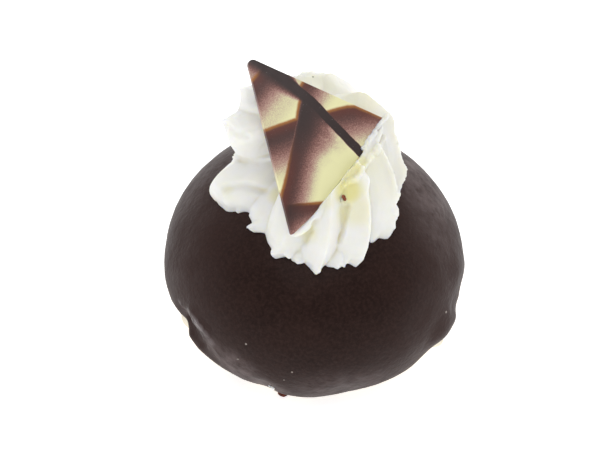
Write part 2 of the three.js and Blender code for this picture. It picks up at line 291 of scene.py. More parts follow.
SHADES = [  # and where it is greyer, turned from the light
    (316, 82, 12, 0.4),
    (345, 92, 12, 0.45),
    (366, 103, 12, 0.5),
    (384, 130, 12, 0.7),
    (392, 165, 12, 0.7),
]

# Small bits, by pixels of the photo, with their smallest and largest size in mm and their shape
PALE_SPECKS = [(446, 312), (284, 380), (270, 384), (292, 372), (246, 344), (238, 359)]
PALE_SPECK_SIZE = (0.2, 0.34)
PALE_SPECK_SHAPE = (1, 1, 0.6)
SHARD = [(344.4, 198.6), (343.4, 196.8)]
SHARD_SIZE = (0.55, 0.75)
SHARD_SHAPE = (1, 1, 0.5)
SHARD_GLINT = [(341.6, 196.2), (341, 198), (341.4, 199.8)]
SHARD_GLINT_SIZE = (0.4, 0.5)
SHARD_GLINT_SHAPE = (1, 1, 0.8)
DARK_SPECK = [(313, 77)]
DARK_SPECK_SIZE = (0.22, 0.34)
DARK_SPECK_SHAPE = (1, 1, 0.7)
FOOT_CRUMB = (283.5, 393)
FOOT_CRUMB_HEIGHT = 0.7 * MM
FOOT_CRUMB_BACK = Vector((0, 1.2, 0)) * MM  # how far its middle lies behind the tip that shows
FOOT_CRUMB_SIZE = (1.3, 1.4)
FOOT_CRUMB_SHAPE = (1.5, 2.4, 0.5)
CREAM_SPECK = [(270, 386), (272.5, 387.5)]
CREAM_SPECK_SHAPE = (1, 1, 0.7)
CRUMB_UNEVENNESS = 0.25  # share of a crumb's smallest size
CRUMB_SHADE = 0.4  # share of its colour that its dark patches keep

# The triangle's dark strokes, in its own frame, in millimetres. Each has a sharp edge with the dark side
# to its right, the way the edge bends, the depths at which the dark starts to fade and is gone, where it
# lies by the long bar, and its strength. One whose edge bends back fades from its first stretch alone, and
# an upper one lies left of the bar and ends at the lower arm
STROKES = {
    "upper_arm": (((16.0, 21.9), (24.1, 17.4), (29.0, 20.0)), "MAXIMUM", 1.0, 15.5, "upper", 0.97),
    "lower_arm": (((4.3, 7.2), (10.6, 10.1), (19.9, 14.8)), "MAXIMUM", 1.2, 10, "left", 0.92),
    "right_arm": (
        ((31.5, 12.1), (36.1, 9.0), (37.5, 7.4), (38.7, 3.9), (39.8, 0.5)), "MINIMUM", 0.5, 13, "right", 0.9
    ),
    "top_band": (((0, 32.6), (30, 32.6)), "MAXIMUM", 0.8, 10.5, "left", 0.95),
    "top_haze": (((0, 36), (30, 36)), "MAXIMUM", 14, 18, "left", 0.13),
    "top_wash": (((30, 32.6), (0, 32.6)), "MAXIMUM", 20, 30, "left", 0.25),
    "side_patch": (((31.8, 22.0), (33.2, 22.1)), "MAXIMUM", 0.5, 10.5, "right", 0.9),
    "side_wash": (((33.2, 22.1), (31.8, 22.0)), "MAXIMUM", 20, 30, "right", 0.1),
    "foot_corner": (((5.4, 4.4), (11.2, -1.4)), "MAXIMUM", 0.5, 9, "left", 0.9),
}
BAR_EDGE = 31.8  # the long bar's right edge where it lies furthest out
BAR_LEVEL = 17  # and at what height
BAR_BOW = 0.004  # how it curves back above that
BAR_LEAN = 0.09  # and slants back below it
BAR_WIDTH = 2.4
BAR_BLUR_RISE = (15.5, 26)  # heights between which its left side grows blurred
BAR_BLUR = 3.4
BAR_SHADOW_RISE = (22, 27)  # and its right side gets a shadow
BAR_SHADOW = 2.5
SMOKE_RISE = (1.5, 16)  # heights between which the smoky patch below the crossing thickens
SMOKE_START = (12, 27)  # and how far along the triangle it sets in
SMOKE_STRENGTH = 0.9
SMOKE_GRAIN = 4 * MM
SMOKE_DRIFT = 6  # how far it billows
EDGE_SOFT = 0.3
EDGE_WANDER = 0.4
WANDER_GRAIN = 2.5 * MM
GLOW_DEPTHS = (0.3, 4.2)  # where the red-brown behind a stroke's sharp edge starts to fade and is gone
GLOW_SHARE = 0.85
FRINGE_OUT = 0.6  # breadth of the golden line outside and inside that edge
FRINGE_IN = 0.9
FRINGE_SHARE = 0.75


def take_up(piece):
    """Select one piece alone and make it the active one."""
    bpy.ops.object.select_all(action="DESELECT")
    piece.select_set(True)
    bpy.context.view_layer.objects.active = piece


def name_piece(piece, name):
    """Give a piece and its mesh a name."""
    piece.name = name
    piece.data.name = name


def join(pieces):
    """Join pieces into the first of them."""
    take_up(pieces[0])
    for piece in pieces[1:]:
        piece.select_set(True)
    if len(pieces) > 1:
        bpy.ops.object.join()


def open_mesh(piece, select="VERT"):
    """Go into a piece's edit mode, selecting by vertex, edge or face."""
    take_up(piece)
    bpy.ops.object.mode_set(mode="EDIT")
    bpy.ops.mesh.select_mode(type=select)


def close_mesh():
    """Leave edit mode."""
    bpy.ops.object.mode_set(mode="OBJECT")


def pick(piece, part, test):
    """Select the verts, edges or faces of an open mesh that pass a test."""
    mesh = bmesh.from_edit_mesh(piece.data)
    bpy.ops.mesh.select_all(action="DESELECT")
    for item in getattr(mesh, part):
        if test(item):
            item.select_set(True)
    mesh.select_flush_mode()
    bmesh.update_edit_mesh(piece.data)


def pick_all():
    """Select everything in an open mesh."""
    bpy.ops.mesh.select_all(action="SELECT")


def pick_nearest(piece, place):
    """Select the vertex of an open mesh that lies nearest to a place."""
    mesh = bmesh.from_edit_mesh(piece.data)
    nearest = min(mesh.verts, key=lambda vertex: (vertex.co - place).length_squared)
    pick(piece, "verts", lambda vertex: vertex == nearest)


def pull(piece, place, offset, reach, falloff="SMOOTH"):
    """Pull an open mesh at a place, less and less out to a reach."""
    pick_nearest(piece, place)
    bpy.ops.transform.translate(
        value=offset,
        use_proportional_edit=True,
        proportional_edit_falloff=falloff,
        proportional_size=reach,
    )


def finish_with(piece, kind, **settings):
    """Add a modifier to a piece and apply it."""
    take_up(piece)
    modifier = piece.modifiers.new(kind.lower(), kind)
    for setting, value in settings.items():
        setattr(modifier, setting, value)
    bpy.ops.object.modifier_apply(modifier=modifier.name)


def roughen(piece, grain, height):
    """Push a piece's surface in and out in a cloudy pattern of a grain and height."""
    clouds = bpy.data.textures.new(piece.name + "_relief", "CLOUDS")
    clouds.noise_scale = grain
    clouds.noise_depth = RELIEF_DETAIL
    finish_with(piece, "DISPLACE", texture=clouds, texture_coords="LOCAL", strength=height, mid_level=0.5)


def remesh(piece, grain):
    """Give a piece an even skin of small faces."""
    take_up(piece)
    piece.data.remesh_voxel_size = grain
    bpy.ops.object.voxel_remesh()


def smooth_copy(node, name):
    """Copy of a solid as a piece of its own, its triangles joined into quads that are divided smoothly."""
    take_up(frame["nodes"][node])
    bpy.ops.object.duplicate()
    piece = bpy.context.active_object
    name_piece(piece, name)
    bpy.ops.object.parent_clear(type="CLEAR_KEEP_TRANSFORM")
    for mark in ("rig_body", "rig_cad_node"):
        del piece[mark]
    piece.data.materials.clear()
    open_mesh(piece)
    bpy.ops.mesh.customdata_custom_splitnormals_clear()
    pick_all()
    bpy.ops.mesh.remove_doubles(threshold=MERGE_DISTANCE)
    bpy.ops.mesh.tris_convert_to_quads(face_threshold=QUAD_ANGLE, shape_threshold=QUAD_ANGLE)
    close_mesh()
    bpy.ops.object.shade_smooth()
    finish_with(piece, "SUBSURF", levels=SKIN_LEVELS)
    return piece


def line_of_sight(x, y):
    """Direction from the camera through a pixel of the photo."""
    across = (x - IMAGE_WIDTH / 2) / CAMERA_FOCAL
    up = (IMAGE_HEIGHT / 2 - y) / CAMERA_FOCAL
    return (CAMERA_TURN.to_matrix() @ Vector((across, up, -1))).normalized()


def seen_on(piece, x, y):
    """Place on a piece, and the way it faces there, that a pixel of the photo shows."""
    hit, place, normal, _ = piece.ray_cast(CAMERA_PLACE, line_of_sight(x, y))
    if not hit:
        raise ValueError(f"pixel {x}, {y} does not show {piece.name}")
    return place, normal


def at_height(x, y, height):
    """Place at a height that a pixel of the photo shows."""
    sight = line_of_sight(x, y)
    return CAMERA_PLACE + sight * (height - CAMERA_PLACE.z) / sight.z


def way_to_sight(piece, x, y):
    """Vertex of an open mesh that is nearest to a pixel's line of sight, and its way there."""
    sight = line_of_sight(x, y)

    def way(place):
        return CAMERA_PLACE + sight * (place - CAMERA_PLACE).dot(sight) - place

    places = [vertex.co.copy() for vertex in bmesh.from_edit_mesh(piece.data).verts]
    nearest = min(places, key=lambda place: way(place).length_squared)
    return nearest, way(nearest)


def steps_between(points, step):
    """Places along a line of pixels, a step apart."""
    places = []
    for (x, y), (end_x, end_y) in zip(points, points[1:]):
        count = max(1, round(math.hypot(end_x - x, end_y - y) / step))
        places += [(x + (end_x - x) * i / count, y + (end_y - y) * i / count) for i in range(count)]
    return places + [points[-1]]


def press(piece, dents):
    """Press a piece in or pull it out at pixels of the photo."""
    places = [(*seen_on(piece, x, y), height * MM, reach * MM) for x, y, height, reach in dents]
    open_mesh(piece)
    for place, normal, height, reach in places:
        pull(piece, place, normal * height, reach, "SPHERE" if height < 0 else "SMOOTH")
    close_mesh()


def drag(piece, drags):
    """Drag a piece's outline into place, and on behind it where it turns away."""
    ahead = line_of_sight(IMAGE_WIDTH / 2, IMAGE_HEIGHT / 2)
    for start, end, reach, behind in drags:
        place, _ = seen_on(piece, *start)
        sight = line_of_sight(*end)
        target = CAMERA_PLACE + sight * (place - CAMERA_PLACE).dot(ahead) / sight.dot(ahead)
        open_mesh(piece)
        for step in range(int(behind / reach) + 1):
            pull(piece, place + sight * step * reach * MM, target - place, reach * MM)
        close_mesh()


def glazed_coat():
    """The chocolate coat, its skin smooth but uneven."""
    coat = smooth_copy("chocolate_coat", "chocolate_glaze")
    press(coat, COAT_DENTS)
    drag(coat, COAT_DRAGS)
    for grain, height in COAT_RELIEF:
        roughen(coat, grain, height)
    return coat


def baked_bun():
    """The choux bun, with an uneven crust that swells out where it shows."""
    bun = smooth_copy("choux_bun", "choux_crust")
    press(bun, BUN_DENTS)
    open_mesh(bun)
    for x, y in PASTRY_SHOWS:
        nearest, offset = way_to_sight(bun, x, y)
        pull(bun, nearest, offset, PASTRY_REACH)
    close_mesh()
    roughen(bun, *CRUST_RELIEF)
    open_mesh(bun)
    pick(bun, "verts", lambda vertex: vertex.co.z < BASE_LEVEL)
    bpy.ops.transform.resize(value=(1, 1, 0), center_override=(0, 0, 0))
    close_mesh()
    return bun


def coat_height(coat, place):
    """Height of the coat's outer face over a place."""
    _, top, _, _ = coat.ray_cast(Vector((place.x, place.y, STAR_TOP.z)), Vector((0, 0, -1)))
    return top.z


def draw_up(fullness, end, twist):
    """Draw a selected slice of cream up to its end, ring by ring, narrowing and turning."""
    width, height, turn = 1 - FOOT_TUCK, 1, 0
    axis = STAR_MIDDLE.copy()
    for step in range(1, FOLD_LEVELS):
        level = step / FOLD_LEVELS
        narrow = math.cos(math.pi / 2 * level ** fullness)
        new_width = narrow * (1 - FOOT_TUCK * math.exp(-level / TUCK_LEVEL))
        new_height = 1 - math.sin(math.pi / 2 * level) ** CROWN_FULLNESS
        new_turn = twist * (1 - new_height)
        along = level * level * (3 - 2 * level)
        new_axis = STAR_MIDDLE.lerp(Vector((STAR_TOP.x, STAR_TOP.y, 0)), along)
        bpy.ops.mesh.extrude_region_move(TRANSFORM_OT_translate={"value": new_axis - axis})
        share = new_width / width
        centre = Vector((new_axis.x, new_axis.y, end * MM))
        bpy.ops.transform.resize(value=(share, share, new_height / height), center_override=centre)
        bpy.ops.transform.rotate(
            value=-math.radians(new_turn - turn), orient_axis="Z", center_override=centre
        )
        width, height, turn, axis = new_width, new_height, new_turn, new_axis
    bpy.ops.mesh.merge(type="CENTER")
    pick_all()
    bpy.ops.mesh.normals_make_consistent(inside=False)


def cream_slice(name, middle, radius):
    """Flat round slice of cream to start from, selected in edit mode."""
    bpy.ops.mesh.primitive_circle_add(
        vertices=FOLD_COLUMNS, radius=radius, fill_type="NGON", location=middle
    )
    piece = bpy.context.active_object
    name_piece(piece, name)
    bpy.ops.object.transform_apply()
    open_mesh(piece)
    pick_all()
    return piece


def cream_core(coat):
    """The solid middle of the star."""
    foot = CORE_MIDDLE + Vector((0, 0, coat_height(coat, CORE_MIDDLE + Vector((CORE_REACH, 0, 0)))))
    core = cream_slice("piped_cream", foot, CORE_REACH)
    draw_up(CORE_FULLNESS, CORE_END, 0)
    close_mesh()
    return core


def cream_fold(coat, bearing, reach, width, fullness, end, twist, lean, breadth):
    """One fold of the star: a narrow slice from the middle to the crest, drawn up to the apex."""
    angle = math.radians(bearing)
    out = Vector((math.cos(angle), math.sin(angle), 0)) * reach * MM
    height = coat_height(coat, STAR_MIDDLE + out) - STAR_SINK
    level = Vector((0, 0, height))
    middle = STAR_MIDDLE + level + Vector((reach + FOLD_ROOT, 0, 0)) * MM / 2
    length = reach - FOLD_ROOT
    fold = cream_slice("fold", middle, length * MM / 2)
    bpy.ops.transform.resize(value=(1, width / length, 1), center_override=middle)
    crest = middle + Vector((length * MM / 2, 0, 0))
    pull(fold, crest, (reach * CREST_PULL * MM, 0, 0), width * MM / 2, "SHARP")
    bpy.ops.transform.resize(
        value=(1, breadth, 1),
        center_override=middle,
        use_proportional_edit=True,
        proportional_edit_falloff="LINEAR",
        proportional_size=width * MM / 2,
    )
    pick_all()
    bpy.ops.transform.rotate(value=-math.radians(lean), orient_axis="Z", center_override=middle)
    bpy.ops.transform.rotate(value=-angle, orient_axis="Z", center_override=STAR_MIDDLE)
    share = 1 - FOOT_TUCK
    bpy.ops.transform.resize(value=(share, share, 1), center_override=STAR_MIDDLE + level)
    seed = bearing % 360
    bpy.ops.transform.vertex_random(offset=STREAK_DEPTH, seed=seed)
    draw_up(fullness, end, twist)
    pick(fold, "verts", lambda vertex: vertex.co.z < height + RAGGED_HEIGHT)
    bpy.ops.transform.vertex_random(offset=RAGGED_DEPTH, seed=seed)
    close_mesh()
    return fold


def cream_collar():
    """The cream that the triangle pushed up along its buried edge."""
    bpy.ops.mesh.primitive_uv_sphere_add(
        segments=COLLAR_SEGMENTS, ring_count=COLLAR_RINGS, radius=0.5, location=COLLAR_PLACE
    )
    collar = bpy.context.active_object
    collar.scale = (COLLAR_LENGTH, COLLAR_WIDTH, COLLAR_WIDTH)
    bpy.ops.object.transform_apply()
    set_in_cream(collar)
    return collar


def piped_star(coat):
    """The star as it left the nozzle: a core, its folds and the collar, pressed into one."""
    core = cream_core(coat)
    folds = [cream_fold(coat, *fold) for fold in FOLDS]
    join([core] + folds + [cream_collar()])
    remesh(core, CREAM_GRAIN)
    return core


def triangle_frame():
    """The triangle's own frame: origin at its foot, X along the buried edge, Z out of its face."""
    along = (CORNER_SIDE - CORNER_FOOT).normalized()
    out = along.cross(CORNER_TOP - CORNER_FOOT).normalized()
    turn = Matrix((along, out.cross(along), out)).transposed()
    return Matrix.Translation(CORNER_FOOT) @ turn.to_4x4()


def triangle_corners(buried, top, free):
    """Corners in the triangle's frame with its edges moved out: foot, side and top."""
    into_frame = triangle_frame().inverted()
    corners = [(into_frame @ corner).to_2d() for corner in (CORNER_FOOT, CORNER_SIDE, CORNER_TOP)]
    edges = []
    for i, by in enumerate((buried, top, free)):
        along = (corners[(i + 1) % 3] - corners[i]).normalized()
        edges.append((corners[i] + Vector((along.y, -along.x)) * by, along))
    moved = []
    for i, (start, along) in enumerate(edges):
        before, before_along = edges[i - 1]
        step = (start - before).cross(along) / before_along.cross(along)
        moved.append(before + before_along * step)
    return moved


def triangle_prism(name, corners, low, high, torn=0):
    """Prism on three corners, lying flat: its buried side bows out, and is uneven by a depth where torn."""
    bpy.ops.mesh.primitive_circle_add(vertices=3, radius=1 * MM, fill_type="NGON", location=(0, 0, low))
    prism = bpy.context.active_object
    name_piece(prism, name)
    bpy.ops.object.transform_apply()
    open_mesh(prism)
    starts = [vertex.co.copy() for vertex in bmesh.from_edit_mesh(prism.data).verts]
    for start, corner in zip(starts, corners):
        pick_nearest(prism, start)
        bpy.ops.transform.translate(value=corner.to_3d() + Vector((0, 0, low)) - start)
    bow_start, bow_end = (corners[0].lerp(corners[1], share).x for share in BOW_SHARES)

    def on_buried_side(vertex):
        return vertex.co.y < corners[2].y / 2

    def on_bow(vertex):
        return on_buried_side(vertex) and bow_start - MM < vertex.co.x < bow_end + MM

    pick(prism, "verts", on_buried_side)
    bpy.ops.mesh.subdivide(number_cuts=TEAR_STEPS if torn else BOW_STEPS)
    pick(prism, "verts", on_bow)
    bpy.ops.transform.translate(value=(0, -BURIED_BOW, 0))
    if torn:
        pick(prism, "verts", on_buried_side)
        bpy.ops.transform.vertex_random(offset=torn, seed=TEAR_SEED)
        bpy.ops.transform.resize(value=(1, 1, 0), center_override=(0, 0, low))
    pick_all()
    bpy.ops.mesh.extrude_region_move(TRANSFORM_OT_translate={"value": (0, 0, high - low)})
    pick_all()
    bpy.ops.mesh.normals_make_consistent(inside=False)
    close_mesh()
    return prism


def set_in_cream(piece):
    """Turn a piece made flat into the triangle's place."""
    take_up(piece)
    piece.matrix_world = triangle_frame()
    bpy.ops.object.transform_apply()


def triangle_plate(name):
    """Plain plate of the triangle's size and thickness, lying flat."""
    return triangle_prism(name, triangle_corners(BURIED_EDGE, 0, 0), -TRIANGLE_THICKNESS, 0)


def chocolate_triangle():
    """The thin chocolate triangle, its corners and edges rounded."""
    plate = triangle_plate("patterned_triangle")
    open_mesh(plate, "EDGE")

    def upright(edge):
        return abs((edge.verts[0].co - edge.verts[1].co).z) > EDGE_ROUND

    pick(plate, "edges", lambda edge: upright(edge) and edge.verts[0].co.y > TIP_ROUND)
    bpy.ops.mesh.bevel(offset=TIP_ROUND, segments=TIP_STEPS, profile=TIP_PROFILE, affect="EDGES")
    pick(plate, "edges", lambda edge: upright(edge) and edge.verts[0].co.y < TIP_ROUND)
    bpy.ops.mesh.bevel(offset=CORNER_ROUND, segments=CORNER_STEPS, affect="EDGES")
    pick(plate, "edges", lambda edge: not upright(edge))
    bpy.ops.mesh.bevel(offset=EDGE_ROUND, segments=EDGE_STEPS, affect="EDGES")
    close_mesh()
    bpy.ops.object.shade_smooth_by_angle(angle=SHARP_ANGLE)
    set_in_cream(plate)
    return plate


def cut_away(piece, cutter):
    """Cut one piece with another, which is used up."""
    finish_with(piece, "BOOLEAN", operation="DIFFERENCE", object=cutter, solver="MANIFOLD")
    take_up(cutter)
    bpy.ops.object.delete()


def on_triangle(x, y):
    """Place on the triangle's face that a pixel of the photo shows."""
    flat = triangle_frame()
    out = flat.col[2].to_3d()
    sight = line_of_sight(x, y)
    return CAMERA_PLACE + sight * (flat.translation - CAMERA_PLACE).dot(out) / sight.dot(out)


def blob(place, sizes):
    """Small lopsided lump, its size drawn between two."""
    size = TEAR_DRAW.uniform(*sizes) * MM
    bpy.ops.mesh.primitive_ico_sphere_add(subdivisions=2, radius=size, location=place)
    lump = bpy.context.active_object
    lump.scale = [TEAR_DRAW.uniform(*LUMP_STRETCH) for _ in range(3)]
    lump.rotation_euler = [TEAR_DRAW.uniform(0, math.tau) for _ in range(3)]
    bpy.ops.object.transform_apply()
    return lump


def crease(cream):
    """Press the fine creases into the cream."""
    lines = []
    for points, depth, breadth in CREASES:
        lines += [(*seen_on(cream, x, y), depth, breadth) for x, y in steps_between(points, CREASE_STEP)]
    open_mesh(cream)
    for place, normal, depth, breadth in lines:
        pull(cream, place, normal * -depth * MM, breadth * MM)
    close_mesh()


def points_of(piece):
    """Places of a piece's points, one row each."""
    places = np.empty(len(piece.data.vertices) * 3)
    piece.data.vertices.foreach_get("co", places)
    return places.reshape(-1, 3)


def mark_grooves(piece):
    """Note at each point of a piece how deep it lies in a groove, or how far it stands out."""
    take_up(piece)
    bpy.ops.object.duplicate()
    evened = bpy.context.active_object
    finish_with(evened, "SMOOTH", factor=0.5, iterations=GROOVE_ROUNDS)
    outward = np.empty(len(piece.data.vertices) * 3)
    piece.data.vertices.foreach_get("normal", outward)
    depth = ((points_of(evened) - points_of(piece)) * outward.reshape(-1, 3)).sum(axis=1)
    take_up(evened)
    bpy.ops.object.delete()
    groove = piece.data.attributes.new("groove", "FLOAT", "POINT")
    groove.data.foreach_set("value", (depth / GROOVE_DEPTH).astype(np.float32))


def whipped_cream(coat):
    """The star with the triangle pushed into it."""
    cream = piped_star(coat)
    drag(cream, CREAM_DRAGS)
    slot = triangle_plate("slot")
    set_in_cream(slot)
    cut_away(cream, slot)
    cleared = triangle_corners(TEAR_EDGE, CREAM_CLEAR, CREAM_CLEAR)
    front = triangle_prism("front", cleared, -SLOT_OVERLAP, CREAM_REACH, TEAR_DEPTH)
    set_in_cream(front)
    cut_away(cream, front)
    shreds = [blob(on_triangle(x, y), SHRED_SIZE) for x, y in steps_between(SHREDS, SHRED_STEP)]
    shreds += [blob(seen_on(cream, x, y)[0], LIP_SIZE) for x, y in steps_between(LIP, SHRED_STEP)]
    join([cream] + shreds)
    remesh(cream, CREAM_GRAIN)
    finish_with(cream, "SMOOTH", factor=0.5, iterations=SETTLE_ROUNDS)
    crease(cream)
    roughen(cream, *CREAM_RELIEF)
    mark_grooves(cream)
    take_up(cream)
    bpy.ops.object.shade_smooth()
    return cream


def crumbs(name, places, sizes, shape):
    """Small lumps on other pieces, each at a place and facing a way, as one piece."""
    lumps = []
    for place, normal in places:
        lump = blob(Vector((0, 0, 0)), sizes)
        lump.scale = shape
        lump.rotation_euler = normal.to_track_quat("Z", "Y").to_euler()
        lump.location = place
        bpy.ops.object.transform_apply()
        open_mesh(lump)
        pick_all()
        bpy.ops.transform.vertex_random(offset=sizes[0] * MM * CRUMB_UNEVENNESS, seed=len(lumps))
        close_mesh()
        lumps.append(lump)
    join(lumps)
    name_piece(lumps[0], name)
    bpy.ops.object.shade_smooth()
    return lumps[0]


def crumbs_on(piece, name, pixels, sizes, shape):
    """Crumbs where pixels of the photo show a piece."""
    return crumbs(name, [seen_on(piece, x, y) for x, y in pixels], sizes, shape)


def set_inputs(tree, node, inputs):
    """Set a shader node's inputs, each to a value or to another node's socket."""
    for socket, value in inputs.items():
        if isinstance(value, bpy.types.NodeSocket):
            tree.links.new(value, node.inputs[socket])
        else:
            node.inputs[socket].default_value = value


def add_node(tree, kind, inputs=None, **settings):
    """Add a shader node with its settings and inputs."""
    node = tree.nodes.new(kind)
    for setting, value in settings.items():
        setattr(node, setting, value)
    set_inputs(tree, node, inputs or {})
    return node


def srgb(red, green, blue):
    """Screen colour, in steps from 0 to 255, as linear light."""
    def linear(value):
        share = value / 255
        return share / 12.92 if share <= 0.04045 else ((share + 0.055) / 1.055) ** 2.4
    return (linear(red), linear(green), linear(blue), 1)


def new_finish(name):
    """Empty material with its shader, and the piece's own coordinates."""
    finish = bpy.data.materials.new(name)
    finish.use_nodes = True
    tree = finish.node_tree
    tree.nodes.clear()
    shader = tree.nodes.new("ShaderNodeBsdfPrincipled")
    add_node(tree, "ShaderNodeOutputMaterial", {"Surface": shader.outputs["BSDF"]})
    place = tree.nodes.new("ShaderNodeTexCoord").outputs["Object"]
    return finish, tree, shader, place


def noise(tree, place, size, detail=3, roughness=0.5):
    """Cloudy noise with features of a size, from 0 to 1."""
    return add_node(
        tree,
        "ShaderNodeTexNoise",
        {"Vector": place, "Scale": 1 / size, "Detail": detail, "Roughness": roughness},
    ).outputs["Fac"]


def spread(tree, value, low, high, to_low=0.0, to_high=1.0):
    """Stretch a value smoothly between two limits."""
    return add_node(
        tree,
        "ShaderNodeMapRange",
        {"Value": value, "From Min": low, "From Max": high, "To Min": to_low, "To Max": to_high},
        interpolation_type="SMOOTHSTEP",
    ).outputs["Result"]


def mix(tree, share, first, second):
    """Blend two colours."""
    return add_node(tree, "ShaderNodeMix", {0: share, 6: first, 7: second}, data_type="RGBA").outputs[2]


def calc(tree, operation, first, second=0.0):
    """Result of an operation on two numbers or sockets."""
    return add_node(tree, "ShaderNodeMath", {0: first, 1: second}, operation=operation).outputs[0]


def product(tree, first, *others):
    """Product of numbers or sockets."""
    for other in others:
        first = calc(tree, "MULTIPLY", first, other)
    return first


def without(tree, share):
    """What a share leaves of the whole."""
    return calc(tree, "SUBTRACT", 1, share)


def distance(tree, place, middle):
    """How far a place lies from a middle."""
    node = add_node(tree, "ShaderNodeVectorMath", {0: place, 1: middle}, operation="DISTANCE")
    return node.outputs["Value"]


def bump(tree, height, depth):
    """Bumps of a depth from a height between 0 and 1."""
    return add_node(tree, "ShaderNodeBump", {"Height": height, "Distance": depth}).outputs["Normal"]


def on_triangle_face(tree, place):
    """A place in the triangle's own frame, in millimetres."""
    flat = triangle_frame()
    return add_node(
        tree,
        "ShaderNodeMapping",
        {"Vector": place, "Location": flat.translation, "Rotation": flat.to_euler(), "Scale": (MM, MM, MM)},
        vector_type="TEXTURE",
    ).outputs[0]


def near_spots(tree, place, spots):
    """How near a place lies to any of some spots, each with its middle, reach and strength."""
    nearness = 0.0
    for middle, reach, strength in spots:
        spot = spread(tree, distance(tree, place, middle), reach * SPOT_CORE, reach, strength, 0)
        nearness = calc(tree, "MAXIMUM", nearness, spot)
    return nearness


def spots_on(piece, spots):
    """Spots given by pixels of the photo, as places on a piece."""
    return [(seen_on(piece, x, y)[0], reach * MM, strength) for x, y, reach, strength in spots]


def dark_chocolate(coat):
    """Satin dark chocolate with a fine grain, its colour holding painted shade, near black in front and
    browner round it, and painted highlights at its rims and along its left ridge.
    """
    finish, tree, shader, place = new_finish("dark_chocolate")
    middle, _ = seen_on(coat, *PAINTED_SHADE_MIDDLE)
    # painted shade: near black in the middle that faces the camera, browner towards the rims
    painted_side_light = spread(tree, distance(tree, place, middle), *PAINTED_SHADE_REACH)
    cloud = spread(tree, noise(tree, place, 9 * MM, 4), 0.35, 0.7)
    mottle = spread(tree, noise(tree, place, 0.9 * MM, 4, 0.65), 0.35, 0.7)
    colour = mix(tree, painted_side_light, srgb(29, 16, 13), srgb(52, 38, 36))
    colour = mix(tree, product(tree, cloud, 0.4), colour, srgb(44, 28, 24))
    colour = mix(tree, product(tree, mottle, 0.35), colour, srgb(60, 42, 38))
    uneven = spread(tree, noise(tree, place, 4 * MM, 5, 0.6), 0.25, 0.65)
    # painted highlights: pale, broken patches at the rims where the coat would catch the light
    painted_rim_highlight = product(tree, near_spots(tree, place, spots_on(coat, PAINTED_RIM_HIGHLIGHTS)), uneven)
    colour = mix(tree, painted_rim_highlight, colour, srgb(122, 108, 107))
    ridge = product(tree, near_spots(tree, place, spots_on(coat, STREAK)), uneven)
    # painted highlight along the left ridge, which is also made smoother just below
    colour = mix(tree, product(tree, ridge, STREAK_PAINTED_HIGHLIGHT), colour, srgb(172, 160, 164))
    smoother = without(tree, product(tree, ridge, STREAK_GLOSS))
    pits = spread(tree, noise(tree, place, 1.6 * MM, 3, 0.55), 0.3, 0.7)
    grain = noise(tree, place, 0.5 * MM, 3, 0.6)
    relief = calc(tree, "ADD", pits, product(tree, grain, 0.3))
    set_inputs(tree, shader, {
        "Base Color": colour,
        "Roughness": product(tree, spread(tree, cloud, 0, 1, 0.5, 0.6), smoother),
        "Specular IOR Level": 0.1,
        "Specular Tint": (1, 0.8, 0.77, 1),
        "Coat Weight": 0.05,
        "Coat Roughness": 0.2,
        "Normal": bump(tree, relief, 0.07 * MM),
    })
    return finish


def choux_pastry(bun):
    """Baked choux crust, matt and pitted: golden, browner in patches, with painted light paling it where it
    shows at the hem.
    """
    finish, tree, shader, place = new_finish("choux_pastry")
    cloud = spread(tree, noise(tree, place, 7 * MM, 5), 0.3, 0.7)
    colour = mix(tree, cloud, srgb(240, 222, 178), srgb(208, 164, 104))
    # painted light: the crust is paler where it shows beside the coat's hem
    painted_light = near_spots(tree, place, spots_on(bun, PAINTED_LIGHT_ON_CRUST))
    grain = noise(tree, place, 1.2 * MM, 6, 0.7)
    set_inputs(tree, shader, {
        "Base Color": mix(tree, painted_light, colour, srgb(253, 246, 230)),
        "Roughness": 0.8,
        "Normal": bump(tree, grain, 0.3 * MM),
    })
    return finish


def whipped_cream_finish(cream):
    """Whipped cream: white and soft to the light, with painted shade: yellow in its grooves and in spots,
    grey where it turns away.
    """
    finish, tree, shader, place = new_finish("whipped_cream")
    groove = add_node(tree, "ShaderNodeAttribute", attribute_name="groove").outputs["Fac"]
    cloud = spread(tree, noise(tree, place, 5 * MM), 0.3, 0.7)
    colour = mix(tree, cloud, srgb(236, 236, 234), srgb(234, 234, 228))
    # painted shade: greyer and yellower the deeper a point lies in a groove
    colour = mix(tree, spread(tree, groove, 0.15, 0.9), colour, srgb(234, 231, 216))
    colour = mix(tree, spread(tree, groove, 0.7, 1.8), colour, srgb(228, 221, 184))
    # painted shade and painted reflection: yellower by the triangle's edge, under the lip, in creases and at
    # the back
    painted_yellow = near_spots(tree, place, spots_on(cream, PAINTED_YELLOW_SPOTS))
    colour = mix(tree, painted_yellow, colour, srgb(227, 222, 162))
    shade = near_spots(tree, place, spots_on(cream, SHADES))
    grain = noise(tree, place, 0.5 * MM, 4, 0.6)
    set_inputs(tree, shader, {
        "Base Color": mix(tree, shade, colour, srgb(216, 215, 206)),
        "Roughness": 0.5,
        "Specular IOR Level": 0.3,
        "Subsurface Weight": 0.8,
        "Subsurface Radius": (1.0, 0.9, 0.6),
        "Subsurface Scale": 2.5 * MM,
        "Normal": bump(tree, grain, 0.04 * MM),
    })
    return finish


def ramp(tree, value, stops):
    """Colour that goes through stops, each a place from 0 to 1 and a colour."""
    node = add_node(tree, "ShaderNodeValToRGB", {"Fac": value})
    elements = node.color_ramp.elements
    while len(elements) < len(stops):
        elements.new(0.5)
    for element, (place, colour) in zip(elements, stops):
        element.position = place
        element.color = colour
    return node.outputs["Color"]


